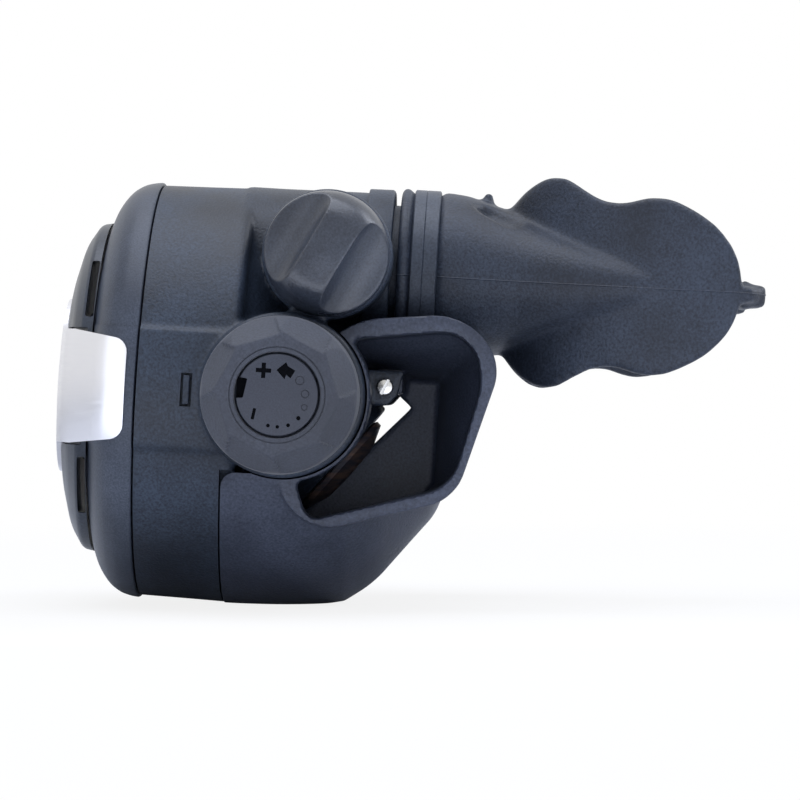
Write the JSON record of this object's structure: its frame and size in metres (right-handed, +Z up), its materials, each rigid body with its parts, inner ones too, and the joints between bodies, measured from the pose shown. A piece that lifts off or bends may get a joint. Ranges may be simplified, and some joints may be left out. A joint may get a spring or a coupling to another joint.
{
  "type": "diving regulator second stage",
  "caption": "Diving regulator second stage: round demand chamber with purge cover, effort knob, venturi knob, side-opening exhaust tee and clamped bite mouthpiece.",
  "frame": {"origin": "middle of the underside's bounding box, at the level of the foot that the part rests on", "axes": "+X towards the diver's mouth, +Y from the effort knob to the hose inlet, +Z up"},
  "size_m": [0.1176, 0.1028, 0.0714],
  "materials": {
    "case_plastic": "fine-grained moulded nylon",
    "cover_plastic": "fine-grained moulded nylon",
    "bezel_plastic": "satin black",
    "silver_trim": "satin metallised",
    "knob_rubber": "soft overmould",
    "insert_plastic": "matte",
    "venturi_plastic": "satin",
    "tee_plastic": "fine grain",
    "mouthpiece_silicone": "matte silicone",
    "clamp_plastic": "satin",
    "valve_silicone": "translucent silicone",
    "diaphragm_silicone": "matte silicone",
    "white_nylon": "natural nylon",
    "chromed_brass": "chrome plated",
    "stainless_steel": "plain",
    "black_rubber": "matte"
  },
  "bodies": {
    "case": {"case_housing": "case_plastic", "cover_lock": "case_plastic", "front_cover": "cover_plastic", "cover_bezel": "bezel_plastic", "trim_plate": "silver_trim", "purge_spring": "stainless_steel", "clamp_ring": "white_nylon", "diaphragm": "diaphragm_silicone", "valve_barrel": "chromed_brass", "barrel_nut": "chromed_brass", "inlet_fitting": "chromed_brass", "orifice": "chromed_brass", "orifice_ring": "black_rubber", "lever_pin": "stainless_steel", "valve_spring": "stainless_steel", "packing_nut": "chromed_brass", "exhaust_valve": "valve_silicone", "exhaust_tee": "tee_plastic", "tee_screw_left": "stainless_steel", "tee_screw_right": "stainless_steel", "mouthpiece": "mouthpiece_silicone", "mouthpiece_clamp": "clamp_plastic"},
    "purge": {"purge_button": "bezel_plastic"},
    "plate": {"diaphragm_plate": "white_nylon"},
    "lever": {"lever": "stainless_steel"},
    "valve": {"poppet": "white_nylon", "poppet_seat": "black_rubber", "poppet_nut": "chromed_brass"},
    "pusher": {"spring_pusher": "white_nylon"},
    "effort_knob": {"adjusting_knob": "knob_rubber", "knob_insert": "insert_plastic", "knob_screw": "stainless_steel", "adjusting_spindle": "chromed_brass", "spindle_ring": "black_rubber"},
    "venturi": {"venturi_knob": "venturi_plastic", "venturi_vane": "white_nylon", "vane_ring": "black_rubber"}
  },
  "joints": [
    {"name": "purge_press", "type": "slide", "parent": "case", "child": "purge", "axis": [0.9982, 0, -0.0593], "range_m": [0, 0.0035], "stiffness_N_per_m": 300, "springref_m": -0.001, "deforming": ["purge_spring"]},
    {"name": "plate_slide", "type": "slide", "parent": "case", "child": "plate", "axis": [0.9982, 0, -0.0593], "range_m": [0, 0.0037], "deforming": ["diaphragm"]},
    {"name": "lever_turn", "type": "hinge", "parent": "case", "child": "lever", "pos_m": [-0.02612, -0.0134, 0.03559], "axis": [0.0593, 0, 0.9982], "range_deg": [-14.6, 0]},
    {"name": "valve_slide", "type": "slide", "parent": "case", "child": "valve", "axis": [0, -1, 0], "range_m": [0, 0.0014], "deforming": ["valve_spring"]},
    {"name": "knob_turn", "type": "hinge", "parent": "case", "child": "effort_knob", "pos_m": [-0.01953, -0.0448, 0.0352], "axis": [0, 1, 0], "range_deg": [-360, 360]},
    {"name": "pusher_slide", "type": "slide", "parent": "case", "child": "pusher", "axis": [0, 1, 0], "range_m": [-0.00102, 0.00102]},
    {"name": "venturi_turn", "type": "hinge", "parent": "case", "child": "venturi", "pos_m": [-0.01243, -0.0348, 0.05792], "axis": [0, 1, 0], "range_deg": [-45, 45]}
  ],
  "couplings": [
    {"joint": "plate_slide", "follows": "purge_press", "ratio": 1},
    {"joint": "lever_turn", "follows": "purge_press", "rad_per_m": -71},
    {"joint": "valve_slide", "follows": "purge_press", "ratio": 0.38},
    {"joint": "pusher_slide", "follows": "knob_turn", "m_per_rad": 0.00015915}
  ]
}
